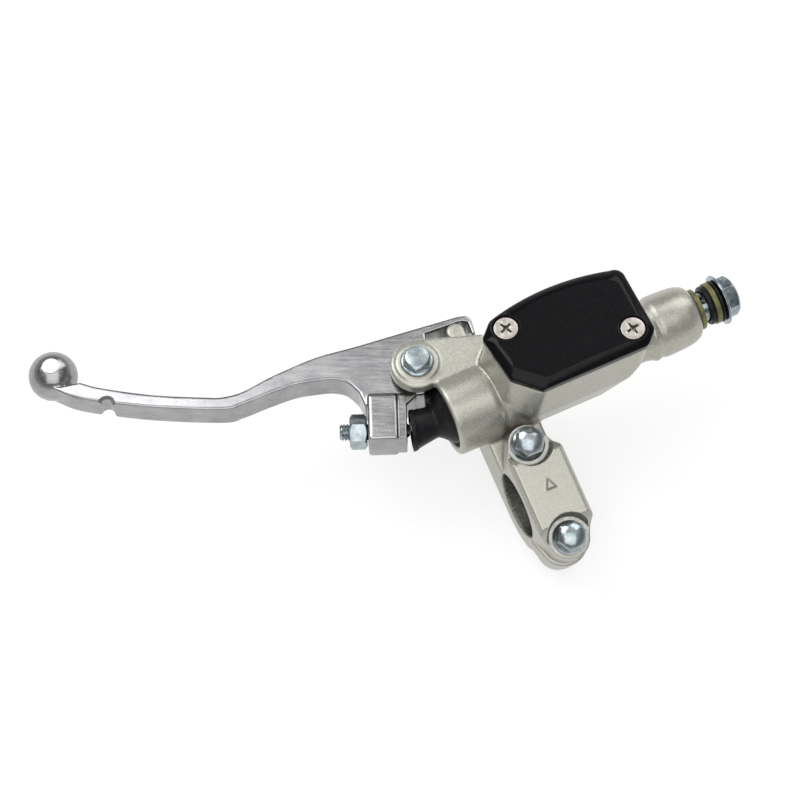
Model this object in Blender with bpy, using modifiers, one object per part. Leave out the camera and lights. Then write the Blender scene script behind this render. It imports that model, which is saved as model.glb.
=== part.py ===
"""Brake master cylinder with its lever, reservoir and handlebar clamp.

The origin is the middle of the handlebar bore. +X runs along the handlebar and the
cylinder bore towards the hose end, +Y points forward, away from the rider, and +Z is up,
square to the reservoir's cover. Sizes are in millimetres, and mm() turns them into metres
where a mesh or an object is made. Most pieces are drawn from the lever's pivot, which is
where the casting's own datum lies.
"""

import math

import bmesh
import bpy
from mathutils import Matrix, Vector

# Driving dimensions, in millimetres
BAR_DIAMETER = 22.2
CLAMP_WIDTH = 19.0
CLAMP_TILT = 19.0
CLAMP_BOLT_SPACING = 33.0
PIVOT = (-21.4, 50.0, 12.0)

BORE_DIAMETER = 12.7
BORE_OFFSET = -16.3
BARREL_RADIUS = 13.5
MOUTH_X = 2.2
OUTLET_X = 92.7

EAR_RADIUS = 8.6
EAR_INNER_Z = 7.4
EAR_OUTER_Z = 11.4
PIVOT_BOSS_Z = 12.2

RESERVOIR_CENTRE = (45.7, -18.0)
RESERVOIR_LENGTH = 49.8
RESERVOIR_WIDTH = 29.4
RESERVOIR_SLANT = 1.8
RESERVOIR_RIM_Z = 22.9
RESERVOIR_FLOOR_Z = 9.5
RESERVOIR_FOOT_X = 17.6
COVER_SCREWS = {"cover_screw_inner": (27.2, -8.7), "cover_screw_outer": (63.7, -26.0)}

LEVER_TURN = -23.5
HUB_RADIUS = 6.9
ADJUSTER_OFFSET = -18.6
BALL_CENTRE = (-106.9, 51.7)
BALL_RADIUS = 8.1

GAP = 0.3
THREAD_RADIUS = 2.85
HOLE_RADIUS = 3.2

MM = 0.001
ALONG_X = (0.0, math.radians(90), 0.0)
EPSILON = 0.00001

parts = None
cutters = None


def mm(*values):
    """Millimetres to metres."""
    return tuple(value * MM for value in values)


# ---------------------------------------------------------------- helpers

def clear_scene():
    """Empty the scene and make the two collections."""
    global parts, cutters
    for obj in list(bpy.data.objects):
        bpy.data.objects.remove(obj)
    parts = bpy.data.collections.new("brake_master_cylinder")
    cutters = bpy.data.collections.new("cutters")
    for collection in (parts, cutters):
        bpy.context.scene.collection.children.link(collection)


def finish_of(name, colour, roughness, metallic):
    """A Principled material."""
    material = bpy.data.materials.new(name)
    material.use_nodes = True
    shader = material.node_tree.nodes["Principled BSDF"]
    shader.inputs["Base Color"].default_value = (*colour, 1.0)
    shader.inputs["Roughness"].default_value = roughness
    shader.inputs["Metallic"].default_value = metallic
    return material


def datum(name, location=(0, 0, 0), rotation=(0, 0, 0), parent=None):
    """An empty that pieces are drawn from."""
    empty = bpy.data.objects.new(name, None)
    empty.location = mm(*location)
    empty.rotation_euler = rotation
    empty.parent = parent
    bpy.context.scene.collection.objects.link(empty)
    return empty


def place(name, mesh, parent, location, rotation, material):
    """Put a mesh in the scene: a piece if it has a material, otherwise a cutter."""
    obj = bpy.data.objects.new(name, mesh)
    obj.parent = parent
    obj.location = mm(*location)
    obj.rotation_euler = rotation
    if material is None:
        cutters.objects.link(obj)
        obj.hide_render = True
        obj.display_type = "WIRE"
    else:
        parts.objects.link(obj)
        mesh.materials.append(material)
    return obj


def shade(mesh, angle=35):
    """Smooth shading with sharp edges kept."""
    mesh.shade_smooth()
    mesh.set_sharp_from_angle(angle=math.radians(angle))


def cylinder(name, radius, low, high, parent, location=(0, 0, 0), rotation=(0, 0, 0),
             material=None, sides=28):
    """A cylinder along its own Z, from low to high."""
    mesh = bpy.data.meshes.new(name)
    bm = bmesh.new()
    shift = Matrix.Translation((0, 0, (low + high) / 2 * MM))
    bmesh.ops.create_cone(bm, cap_ends=True, segments=sides, radius1=radius * MM,
                          radius2=radius * MM, depth=(high - low) * MM, matrix=shift)
    bm.to_mesh(mesh)
    bm.free()
    shade(mesh)
    return place(name, mesh, parent, location, rotation, material)


def box(name, low, high, parent, location=(0, 0, 0), rotation=(0, 0, 0), material=None,
        edge=0.0):
    """A box between two corners, with rounded edges if edge is given."""
    mesh = bpy.data.meshes.new(name)
    bm = bmesh.new()
    bmesh.ops.create_cube(bm, size=1.0)
    low, high = Vector(mm(*low)), Vector(mm(*high))
    for vertex in bm.verts:
        vertex.co = [a + (c + 0.5) * (b - a) for a, b, c in zip(low, high, vertex.co)]
    bm.to_mesh(mesh)
    bm.free()
    obj = place(name, mesh, parent, location, rotation, material)
    if edge:
        round_edges(obj, edge)
    return obj


def ball(name, radius, parent, location, material=None):
    """A sphere."""
    mesh = bpy.data.meshes.new(name)
    bm = bmesh.new()
    bmesh.ops.create_uvsphere(bm, u_segments=20, v_segments=11, radius=radius * MM)
    bm.to_mesh(mesh)
    bm.free()
    shade(mesh)
    return place(name, mesh, parent, location, (0, 0, 0), material)


def turned(name, profile, parent, location=(0, 0, 0), rotation=(0, 0, 0), material=None,
           sides=32, ring=False):
    """A profile of (radius, height) turned about its own Z, listed from top to bottom."""
    mesh = bpy.data.meshes.new(name)
    points = [mm(radius, 0.0, height) for radius, height in profile]
    edges = [(i, i + 1) for i in range(len(points) - 1)]
    if ring:
        edges.append((len(points) - 1, 0))
    mesh.from_pydata(points, edges, [])
    obj = place(name, mesh, parent, location, rotation, material)
    screw = obj.modifiers.new("turn", "SCREW")
    screw.steps = sides
    screw.render_steps = sides
    screw.use_merge_vertices = True
    screw.merge_threshold = EPSILON
    screw.use_smooth_shade = True
    return obj


def plate(name, outline, low, high, parent, location=(0, 0, 0), rotation=(0, 0, 0),
          material=None):
    """A flat outline of (x, y), extruded from low to high and made a mesh."""
    curve = bpy.data.curves.new(name + "_outline", "CURVE")
    curve.dimensions = "2D"
    curve.fill_mode = "BOTH"
    curve.extrude = (high - low) / 2 * MM
    spline = curve.splines.new("POLY")
    spline.points.add(len(outline) - 1)
    for point, (x, y) in zip(spline.points, outline):
        point.co = (*mm(x, y, 0.0), 1.0)
    spline.use_cyclic_u = True
    guide = bpy.data.objects.new(name + "_guide", curve)
    bpy.context.scene.collection.objects.link(guide)
    bpy.context.view_layer.update()
    evaluated = guide.evaluated_get(bpy.context.evaluated_depsgraph_get())
    mesh = bpy.data.meshes.new_from_object(evaluated)
    bm = bmesh.new()
    bm.from_mesh(mesh)
    bmesh.ops.remove_doubles(bm, verts=bm.verts, dist=EPSILON)
    bmesh.ops.translate(bm, verts=bm.verts, vec=(0, 0, (low + high) / 2 * MM))
    bmesh.ops.recalc_face_normals(bm, faces=bm.faces)
    bm.to_mesh(mesh)
    bm.free()
    bpy.data.objects.remove(guide)
    return place(name, mesh, parent, location, rotation, material)


def loft(name, sections, parent, material=None):
    """A closed solid through sections of (outline, height) with equal point counts."""
    mesh = bpy.data.meshes.new(name)
    bm = bmesh.new()
    rings = []
    for outline, height in sections:
        rings.append([bm.verts.new(mm(x, y, height)) for x, y in outline])
    for lower, upper in zip(rings, rings[1:]):
        for i, vertex in enumerate(lower):
            bm.faces.new((lower[i - 1], vertex, upper[i], upper[i - 1]))
    bm.faces.new(list(reversed(rings[0])))
    bm.faces.new(rings[-1])
    bmesh.ops.recalc_face_normals(bm, faces=bm.faces)
    bm.to_mesh(mesh)
    bm.free()
    return place(name, mesh, parent, (0, 0, 0), (0, 0, 0), material)


def round_edges(obj, width, segments=2, angle=40):
    """Round the edges sharper than an angle."""
    bevel = obj.modifiers.new("round", "BEVEL")
    bevel.width = width * MM
    bevel.segments = segments
    bevel.limit_method = "ANGLE"
    bevel.angle_limit = math.radians(angle)


def combine(target, tool, operation="DIFFERENCE"):
    """Cut, join or intersect a piece with a tool."""
    boolean = target.modifiers.new(tool.name, "BOOLEAN")
    boolean.operation = operation
    boolean.object = tool
    boolean.solver = "EXACT"


def cut(target, *tools):
    for tool in tools:
        combine(target, tool)


def join(target, *tools):
    for tool in tools:
        combine(target, tool, "UNION")


def arc(centre, radius, start, end, steps):
    """Points on an arc, with its angles in degrees."""
    points = []
    for i in range(steps + 1):
        angle = math.radians(start + (end - start) * i / steps)
        points.append((centre[0] + radius * math.cos(angle),
                       centre[1] + radius * math.sin(angle)))
    return points


def through(points, steps=3):
    """A smooth line through points, as a Catmull-Rom spline."""
    ends = [points[0], *points, points[-1]]
    line = []
    for a, b, c, d in zip(ends, ends[1:], ends[2:], ends[3:]):
        for i in range(steps):
            t = i / steps
            weights = (-t + 2 * t * t - t ** 3, 2 - 5 * t * t + 3 * t ** 3,
                       t + 4 * t * t - 3 * t ** 3, t ** 3 - t * t)
            line.append(tuple(sum(w * p[k] for w, p in zip(weights, (a, b, c, d))) / 2
                              for k in (0, 1)))
    line.append(points[-1])
    return line


def hexagon(name, across_flats, low, high, chamfer, parent, location=(0, 0, 0),
            rotation=(0, 0, 0), material=None, both_ends=False):
    """A hexagon along its own Z with its top corners, or both ends' corners, turned off."""
    corner = across_flats / math.sqrt(3)
    head = cylinder(name, corner, low, high, parent, location, rotation, material, sides=6)
    flat = across_flats / 2
    foot = [(corner + 1, high - chamfer), (corner + 1, low - 1)]
    if both_ends:
        foot = [(corner + 0.02, high - chamfer), (corner + 0.02, low + chamfer),
                (flat, low - 0.02)]
    rim = [(0, high + 0.02), (flat, high + 0.02)]
    limit = turned(name + "_chamfer", [*rim, *foot, (0, foot[-1][1])], parent, location,
                   rotation)
    combine(head, limit, "INTERSECT")
    return head


def reservoir_outline(inset=0.0, foot=0.0, outer=4.5):
    """The reservoir's outline, counter-clockwise.

    foot moves its lever side outwards, and outer is the chamfer of its rear outer corner.
    The front end of the lever side stands further out than its rear end, by the slant.
    """
    x_low = RESERVOIR_CENTRE[0] - RESERVOIR_LENGTH / 2 + inset - foot
    x_high = RESERVOIR_CENTRE[0] + RESERVOIR_LENGTH / 2 - inset
    y_low = RESERVOIR_CENTRE[1] - RESERVOIR_WIDTH / 2 + inset
    y_high = RESERVOIR_CENTRE[1] + RESERVOIR_WIDTH / 2 - inset
    near, far, round_corner, bulge = 8.0, 5.0, 3.5, 3.0
    front = []
    left, right = x_low + far - RESERVOIR_SLANT, x_high - round_corner
    for i in range(1, 8):
        t = i / 8
        front.append((right + (left - right) * t, y_high + bulge * 4 * t * (1 - t)))
    corner = arc((right, y_high - round_corner), round_corner, 0, 90, 3)
    return [(x_low + near, y_low), (x_high - outer, y_low), (x_high, y_low + outer),
            *corner, *front, (left, y_high), (x_low - RESERVOIR_SLANT, y_high - far),
            (x_low, y_low + near)]


# ---------------------------------------------------------------- the casting

def make_casting(casting, bore, clamp, cast):
    """The one-piece casting: barrel, reservoir tub, ears, arm and half of the clamp."""
    body = turned("master_cylinder_body", [
        (0, OUTLET_X), (7.6, OUTLET_X), (9.1, OUTLET_X - 1.2), (10.1, OUTLET_X - 4),
        (10.5, OUTLET_X - 8), (10.5, 78.4), (10.0, 77.6), (10.0, 76.8), (10.5, 76.0),
        (10.5, 75.0), (9.8, 74.0), (9.2, 71.5), (9.2, 67.5), (11.0, 64.5), (12.0, 61.0),
        (12.0, 33.0), (BARREL_RADIUS, 21.0), (BARREL_RADIUS, MOUTH_X + 1.0),
        (BARREL_RADIUS - 1.0, MOUTH_X), (0, MOUTH_X)],
        bore, material=cast, sides=32)

    foot = RESERVOIR_CENTRE[0] - RESERVOIR_LENGTH / 2 - RESERVOIR_FOOT_X
    wall = 0.6
    tub = loft("tub", [
        (reservoir_outline(wall + 4.5, foot + 4.5, 11.0), -8.0),
        (reservoir_outline(wall, foot, 8.5), 6.8), (reservoir_outline(wall, foot, 5.5), 12.0),
        (reservoir_outline(wall), RESERVOIR_RIM_Z)], casting)

    ear = [*arc((0, 0), EAR_RADIUS, 68, 285, 12), (4.0, -9.5), (4.0, BORE_OFFSET),
           (23.0, BORE_OFFSET), (23.0, 0.3)]
    upper_ear = plate("upper_ear", ear, EAR_INNER_Z, EAR_OUTER_Z, casting)
    lower_ear = plate("lower_ear", ear, -EAR_OUTER_Z, -EAR_INNER_Z, casting)
    web = [(12.5, BORE_OFFSET), (23.0, BORE_OFFSET), (23.0, 0.3), (19.0, 2.0), (14.0, -4.0)]
    ear_web = plate("ear_web", web, -EAR_OUTER_Z + 0.5, EAR_OUTER_Z - 0.5, casting)
    stop_lug = cylinder("stop_lug", 3.1, -EAR_OUTER_Z + 0.5, 7.0, casting, (17.3, 7.3, 0),
                        sides=16)
    stop_neck = box("stop_neck", (15.2, 0.0, -EAR_OUTER_Z + 0.5), (20.2, 6.9, 6.9), casting)

    half = CLAMP_WIDTH / 2
    tip = arc((0, -CLAMP_BOLT_SPACING / 2), 8.2, -172, -8, 10)
    arm_plan = [(-half, -13.5), *tip, (half, -13.5), (half, 37.0), (-half, 37.0)]
    arm = plate("arm", arm_plan, -24.0, -0.4, clamp)
    ring = arc((0, 0), 17.2, 208, 275, 6)
    arm_side = [(-26.5, 1.0), (-26.5, -10.5), (-24.0, -12.5), *ring, (26.0, -17.2),
                (38.0, -12.5), (38.0, 1.0)]
    arm_form = plate("arm_form", arm_side, -half - 1, half + 1, clamp,
                     rotation=(math.radians(90), 0, math.radians(90)))
    combine(arm, arm_form, "INTERSECT")
    gusset_plan = [(-half + 0.5, 21.0), (half - 0.5, 21.0), (half + 6.0, 31.0),
                   (half + 6.0, 38.0), (-half - 7.0, 38.0), (-half - 7.0, 31.0)]
    gusset = loft("arm_gusset", [
        ([(x * 0.75, y - 0.5) for x, y in gusset_plan], -16.8), (gusset_plan, -10.5),
        (gusset_plan, -4.0)], clamp)

    join(body, tub, upper_ear, lower_ear, ear_web, stop_neck, stop_lug, arm, gusset)

    lever_room = plate("lever_room", [
        (-12.0, 12.0), (-12.0, -9.5), (2.0, -9.5), *arc((0, 0), HUB_RADIUS + 0.7, -72, 20, 8),
        (12.0, 3.0), (13.5, 5.0), (13.5, 12.0)], -EAR_INNER_Z, EAR_INNER_Z, casting)
    bosses = [cylinder("pivot_boss_upper", 6.6, EAR_OUTER_Z - 1, PIVOT_BOSS_Z, casting),
              cylinder("pivot_boss_lower", 6.6, -PIVOT_BOSS_Z, -EAR_OUTER_Z + 1, casting)]
    cut(body, lever_room)
    join(body, *bosses)

    cut_reservoir(body, casting)
    cut_bores(body, casting, bore, clamp)
    return body


def cut_reservoir(body, casting):
    """The fluid chamber, the posts that take the cover's screws, and the two ports."""
    chamber_wall = 3.6
    chamber = plate("chamber", reservoir_outline(chamber_wall), RESERVOIR_FLOOR_Z,
                    RESERVOIR_RIM_Z + 3, casting)
    for name, (x, y) in COVER_SCREWS.items():
        post = cylinder(name + "_post", 4.6, RESERVOIR_FLOOR_Z - 2, RESERVOIR_RIM_Z + 4,
                        casting, (x, y, 0), sides=20)
        cut(chamber, post)
    cut(body, chamber)
    for name, (x, y) in COVER_SCREWS.items():
        cut(body, cylinder(name + "_thread", 1.8, 13.0, RESERVOIR_RIM_Z + 3, casting,
                           (x, y, 0), sides=16))
    for name, x, radius in (("feed_port", 31.0, 1.5), ("compensating_port", 48.2, 0.7)):
        cut(body, cylinder(name, radius, 3.0, RESERVOIR_FLOOR_Z + 2, casting,
                           (x, BORE_OFFSET, 0), sides=10))


def cut_bores(body, casting, bore, clamp):
    """The stepped cylinder bore, the pivot's hole, the handlebar bore and bolt holes."""
    radius = BORE_DIAMETER / 2
    stepped = turned("stepped_bore", [
        (0, OUTLET_X + 1), (5.2, OUTLET_X + 1), (5.2, 76.0), (3.0, 75.0), (3.0, 74.0),
        (radius, 74.0), (radius, 11.6), (8.0, 11.6), (8.0, 9.9), (9.0, 9.9), (9.0, 8.5),
        (8.0, 8.5), (8.0, 7.6), (10.8, 7.6), (10.8, MOUTH_X - 1), (0, MOUTH_X - 1)],
        bore, sides=32)
    pivot_hole = cylinder("pivot_hole", HOLE_RADIUS + 0.1, -20, 20, casting, sides=20)
    bar = cylinder("handlebar", BAR_DIAMETER / 2, -CLAMP_WIDTH, CLAMP_WIDTH, clamp,
                   rotation=ALONG_X, sides=44)
    cut(body, stepped, pivot_hole, bar)
    for name, side in (("upper", 1), ("lower", -1)):
        cut(body, cylinder("clamp_hole_" + name, HOLE_RADIUS, -30, 5, clamp,
                           (0, side * CLAMP_BOLT_SPACING / 2, 0), sides=16))


# ---------------------------------------------------------------- clamp

def make_clamp(bore, clamp, cast, zinc):
    """The clamp's cap and its two flange bolts."""
    half = CLAMP_WIDTH / 2
    reach = CLAMP_BOLT_SPACING / 2
    seat = 10.3
    side = [(-27, 0.4), (27, 0.4), (27, seat + 0.2), (14.5, seat + 0.2), (12.5, 13.8),
            (10.5, 15.6), (-10.5, 15.6), (-13.0, 13.8), (-15.5, seat + 0.2),
            (-27, seat - 0.8)]
    cap = plate("clamp_cap", side, -half, half, clamp,
                rotation=(math.radians(90), 0, math.radians(90)), material=cast)
    lower_tip = arc((0, -reach), 7.0, -168, -12, 10)
    upper_tip = arc((0, reach), 6.3, 20, 160, 8)
    plan = [*lower_tip, (half, -13.0), (half + 1, -12), (half + 1, 11.6), (half - 0.5, 12.6),
            *upper_tip, (-half + 0.5, 12.6), (-half - 1, 11.6), (-half - 1, -12),
            (-half, -13.0)]
    form = plate("cap_form", plan, -5, 30, clamp)
    combine(cap, form, "INTERSECT")
    bar = cylinder("cap_bore", BAR_DIAMETER / 2, -CLAMP_WIDTH, CLAMP_WIDTH, clamp,
                   rotation=ALONG_X, sides=44)
    barrel_room = cylinder("barrel_room", BARREL_RADIUS + 0.5, 0, OUTLET_X, bore, sides=48)
    cut(cap, bar, barrel_room)
    for name, y in (("upper", reach), ("lower", -reach)):
        spot = cylinder("spot_face_" + name, 7.7, seat, 30, clamp, (0, y, 0), sides=28)
        hole = cylinder("cap_hole_" + name, HOLE_RADIUS, -30, 30, clamp, (0, y, 0), sides=16)
        cut(cap, spot, hole)
        make_flange_bolt("clamp_bolt_" + name, clamp, (0, y, 0), seat + GAP, zinc)
    mark = plate("direction_mark", [(-1.6, 0.4), (1.6, 0.4), (0, 3.8)], 14.0, 16.3, clamp)
    join(cap, mark)
    return cap


def make_flange_bolt(name, parent, location, seat, zinc):
    """A hexagon flange bolt standing on its seat."""
    bolt = turned(name, [(0, seat + 2.2), (4.2, seat + 2.0), (5.4, seat + 0.9),
                         (5.6, seat), (THREAD_RADIUS, seat), (THREAD_RADIUS, -11.0),
                         (THREAD_RADIUS - 0.7, -12.0), (0, -12.0)],
                  parent, location, material=zinc, sides=20)
    head = hexagon(name + "_hexagon", 8.0, seat + 1.0, seat + 7.2, 1.8, parent, location)
    join(bolt, head)
    return bolt


# ---------------------------------------------------------------- reservoir top

def make_reservoir_top(casting, gloss_black, rubber, nickel):
    """The cover, its diaphragm and its two countersunk screws."""
    low = RESERVOIR_RIM_Z + GAP
    sheet = 0.8
    diaphragm = plate("reservoir_diaphragm", reservoir_outline(0.5), low, low + sheet,
                      casting, material=rubber)
    cup_low, cup_high = (33.0, -27.8), (58.0, -6.8)
    cup = box("cup", (*cup_low, 15.5), (*cup_high, low + sheet - 0.1), casting)
    hollow = box("cup_hollow", (cup_low[0] + 1, cup_low[1] + 1, 16.5),
                 (cup_high[0] - 1, cup_high[1] - 1, low + 5), casting)
    join(diaphragm, cup)
    cut(diaphragm, hollow)

    cover_low = low + sheet + GAP
    top = cover_low + 4.3
    cover = loft("reservoir_cover", [
        (reservoir_outline(), cover_low), (reservoir_outline(), top - 1.8),
        (reservoir_outline(0.7), top - 0.7), (reservoir_outline(2.2), top)],
        casting, gloss_black)
    air_space = box("air_space", (*cup_low, cover_low - 2), (*cup_high, cover_low + 1.8),
                    casting)
    cut(cover, air_space)
    for name, (x, y) in COVER_SCREWS.items():
        where = (x, y, 0)
        cut(diaphragm, cylinder(name + "_passage", 2.3, low - 2, low + 3, casting, where,
                                sides=16))
        cut(cover, turned(name + "_countersink", [
            (0, top + 1), (4.3, top + 1), (4.3, top - 0.5), (2.1, top - 2.7),
            (2.1, cover_low - 1), (0, cover_low - 1)], casting, where, sides=20))
        make_cover_screw(name, casting, where, top - 0.2, nickel)


def make_cover_screw(name, parent, location, top, nickel):
    """A countersunk screw with a cross recess."""
    screw = turned(name, [(0, top), (3.95, top), (3.95, top - 0.4), (1.7, top - 2.65),
                          (1.45, top - 3.2), (1.45, 14.4), (0.9, 13.6), (0, 13.6)],
                   parent, location, material=nickel, sides=20)
    for i in range(2):
        long, short = (2.3, 0.55) if i else (0.55, 2.3)
        cut(screw, box(f"{name}_recess_{i}", (-long, -short, top - 1.5 - 0.1 * i),
                       (long, short, top + 1), parent, location,
                       (0, 0, math.radians(20))))


# ---------------------------------------------------------------- lever

def make_lever(casting, lever, polished, zinc, brass):
    """The lever, its bush, pivot bolt and nut, and the reach adjuster."""
    front = [(-100.3, 43.5), (-94.7, 38.6), (-80.7, 29.2), (-66.1, 21.3), (-60.9, 18.9),
             (-54.2, 17.8), (-44.6, 18.7), (-35.4, 19.0), (-26.4, 18.8), (-13.6, 16.9),
             (1.0, 15.1), (20.8, 12.6)]
    hook = [(23.2, 11.8), (24.3, 10.0), (23.2, 4.3), (22.0, 4.5), (22.6, 9.4),
            (21.0, 10.5), (8.4, 11.4)]
    hub = [*arc((0, 0), HUB_RADIUS, 30, -75, 7), *arc((0, 0), 8.3, -98, -115, 2)]
    block_side = [(-8.6, -9.6), (-20.5, -4.4)]
    rear = [(-20.3, 1.0), (-22.4, 6.2), (-26.3, 9.2), (-31.8, 11.1), (-38.3, 12.7),
            (-47.1, 13.2), (-56.0, 13.4), (-62.7, 14.6), (-82.5, 24.9), (-97.9, 34.7),
            (-104.6, 39.8), (-109.5, 45.5)]
    outline = [*through(front, 2), *hook, *hub, *block_side, *through(rear, 2)]
    body = plate("brake_lever", outline, -5.6, 5.6, casting, material=polished)
    for vertex in body.data.vertices:
        along = min(1.0, max(0.0, -vertex.co.x / MM / -BALL_CENTRE[0]))
        vertex.co.z *= 1.0 - 0.08 * along
    round_edges(body, 1.3)

    hub_disc = cylinder("hub_disc", HUB_RADIUS, -6.9, 6.9, casting)
    end_ball = ball("end_ball", BALL_RADIUS, casting, (*BALL_CENTRE, 0))
    block = box("adjuster_block", (-16.4, -24.4, -6.6), (-6.6, -8.0, 6.4), lever, edge=1.2)
    strip = box("adjuster_strip", (-8.0, -23.7, -5.7), (-4.3, -8.0, 5.7), lever, edge=0.8)
    join(body, hub_disc, end_ball, block, strip)

    bush_hole = cylinder("bush_hole", 4.8, -10, 10, casting, sides=24)
    adjuster_hole = cylinder("adjuster_hole", HOLE_RADIUS + 0.1, -30, 10, lever,
                             (0, ADJUSTER_OFFSET, 0), ALONG_X, sides=20)
    notch = cylinder("break_notch", 2.3, -10, 10, casting, (-95.6, 32.6, 0), sides=16)
    flat_spot = cylinder("ball_flat", 5.0, BALL_RADIUS - 0.6, 10, casting,
                         (*BALL_CENTRE, 0), sides=24)
    cut(body, bush_hole, adjuster_hole, notch, flat_spot)

    turned("pivot_bush", [(4.5, 6.9), (4.5, -6.9), (3.3, -6.9), (3.3, 6.9)], casting,
           material=brass, sides=24, ring=True)
    seat = PIVOT_BOSS_Z + GAP
    bolt = turned("pivot_bolt", [(0, seat + 1.0), (5.1, seat + 0.8), (5.5, seat + 0.4),
                                 (5.5, seat), (3.0, seat), (3.0, -21.0), (2.3, -21.8),
                                 (0, -21.8)], casting, material=zinc, sides=20)
    join(bolt, hexagon("pivot_bolt_head", 8.6, seat + 0.4, seat + 3.6, 1.0, casting))
    turned("pivot_washer", [(6.2, -seat), (6.2, -seat - 1.2), (3.3, -seat - 1.2),
                            (3.3, -seat)], casting, material=zinc, sides=20, ring=True)
    nut = hexagon("pivot_nut", 10.0, -seat - 6.5, -seat - 1.5, 0.8, casting, material=zinc,
                  both_ends=True)
    cut(nut, cylinder("pivot_nut_hole", 3.3, -40, 0, casting, sides=20))

    turned("adjuster_screw", [(0, -2.6), (1.6, -2.9), (2.6, -4.0), (THREAD_RADIUS, -5.2),
                              (THREAD_RADIUS, -25.0), (2.3, -25.6), (0, -25.6)],
           lever, (0, ADJUSTER_OFFSET, 0), ALONG_X, zinc, sides=20)
    locknut = hexagon("adjuster_locknut", 10.0, -22.4, -16.7, 0.8, lever,
                      (0, ADJUSTER_OFFSET, 0), ALONG_X, zinc, both_ends=True)
    cut(locknut, cylinder("locknut_hole", HOLE_RADIUS, -40, 10, lever,
                          (0, ADJUSTER_OFFSET, 0), ALONG_X, sides=20))


# ---------------------------------------------------------------- inside the bore

def make_hydraulics(bore, zinc, rubber, anodised, steel):
    """Pushrod, boot, clip, washer, piston, cups and spring, all on the bore's axis."""
    turned("pushrod", [(0, 9.2), (1.7, 8.6), (2.4, 7.0), (1.9, 5.3), (1.9, -6.8),
                       (3.1, -7.0), (3.1, -9.0), (0, -9.0)], bore, material=steel, sides=16)
    turned("dust_boot", [
        (8.8, 7.3), (10.5, 7.3), (10.5, 4.4), (9.6, 3.2), (7.4, 1.6), (5.6, -0.6),
        (5.0, -2.0), (5.7, -7.0), (5.7, -8.1), (3.6, -8.1), (3.6, -2.0),
        (4.6, -0.2), (6.4, 2.2), (8.2, 4.2)], bore, material=rubber, sides=20, ring=True)
    turned("retaining_clip", [(8.7, 9.7), (8.7, 8.7), (5.4, 8.7), (5.4, 9.7)], bore,
           material=steel, sides=20, ring=True)
    turned("stop_washer", [(7.7, 11.3), (7.7, 10.1), (4.5, 10.1), (4.5, 11.3)], bore,
           material=zinc, sides=20, ring=True)

    land = 6.2
    turned("piston", [
        (0, 48.4), (2.4, 48.4), (2.4, 44.6), (land, 44.6), (land, 42.2), (3.8, 41.6),
        (3.8, 25.4), (land, 24.8), (land, 22.4), (4.0, 22.4), (4.0, 18.2), (land, 18.2),
        (land, 12.2), (4.1, 12.2), (4.1, 4.8), (3.2, 4.8), (2.7, 6.6), (2.0, 8.8),
        (0, 9.6)], bore, material=anodised, sides=20)
    turned("secondary_cup", [(land, 22.0), (land, 19.2), (5.4, 18.6), (4.4, 18.6),
                             (4.4, 22.0)], bore, material=rubber, sides=20, ring=True)
    turned("primary_cup", [(5.6, 48.0), (land, 47.6), (land, 45.6), (5.6, 45.0),
                           (2.8, 45.0), (2.8, 47.2), (4.6, 47.2)],
           bore, material=rubber, sides=20, ring=True)
    make_spring(bore, steel)


def make_spring(bore, steel):
    """The return spring, from the primary cup to the bore's end."""
    start, end, radius, wire, turns, per_turn = 49.0, 73.1, 4.7, 0.55, 5, 12
    curve = bpy.data.curves.new("spring_wire", "CURVE")
    curve.dimensions = "3D"
    curve.bevel_depth = wire * MM
    curve.bevel_resolution = 1
    curve.use_fill_caps = True
    spline = curve.splines.new("POLY")
    count = turns * per_turn
    spline.points.add(count)
    for i, point in enumerate(spline.points):
        angle = 2 * math.pi * i / per_turn
        height = start + (end - start) * i / count
        point.co = (*mm(radius * math.cos(angle), radius * math.sin(angle), height), 1.0)
    spring = bpy.data.objects.new("return_spring", curve)
    spring.parent = bore
    curve.materials.append(steel)
    parts.objects.link(spring)


# ---------------------------------------------------------------- hose end

def make_hose_end(bore, zinc, olive, rubber):
    """The banjo bolt with its sealing washers and rubber rings."""
    start = OUTLET_X + GAP
    ring_bore = 5.3
    stack = (("banjo_washer_inner", start, 1.6, 7.0, olive),
             ("banjo_ring_inner", start + 3.8, 1.5, 6.7, rubber),
             ("banjo_washer_outer", start + 5.6, 1.8, 7.1, olive),
             ("banjo_ring_outer", start + 7.7, 1.0, 7.2, rubber))
    for name, low, thickness, radius, material in stack:
        high = low + thickness
        turned(name, [(radius - 0.3, high), (radius, high - 0.3), (radius, low + 0.3),
                      (radius - 0.3, low), (ring_bore, low), (ring_bore, high)],
               bore, material=material, sides=24, ring=True)
    seat = start + 9.0
    bolt = turned("banjo_bolt", [
        (0, seat + 1.6), (6.4, seat + 1.4), (8.6, seat + 0.8), (8.6, seat), (4.9, seat),
        (4.9, 80.0), (4.1, 79.0), (0, 79.0)], bore, material=zinc, sides=24)
    join(bolt, hexagon("banjo_bolt_head", 12.0, seat + 1.0, seat + 5.8, 1.2, bore))
    cut(bolt, cylinder("fluid_passage", 1.6, 70.0, seat - 3, bore, sides=10),
        cylinder("banjo_cross_hole", 1.3, -8, 8, bore, (0, 0, seat - 6.0),
                 (0, math.radians(90), 0), sides=8))


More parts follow.
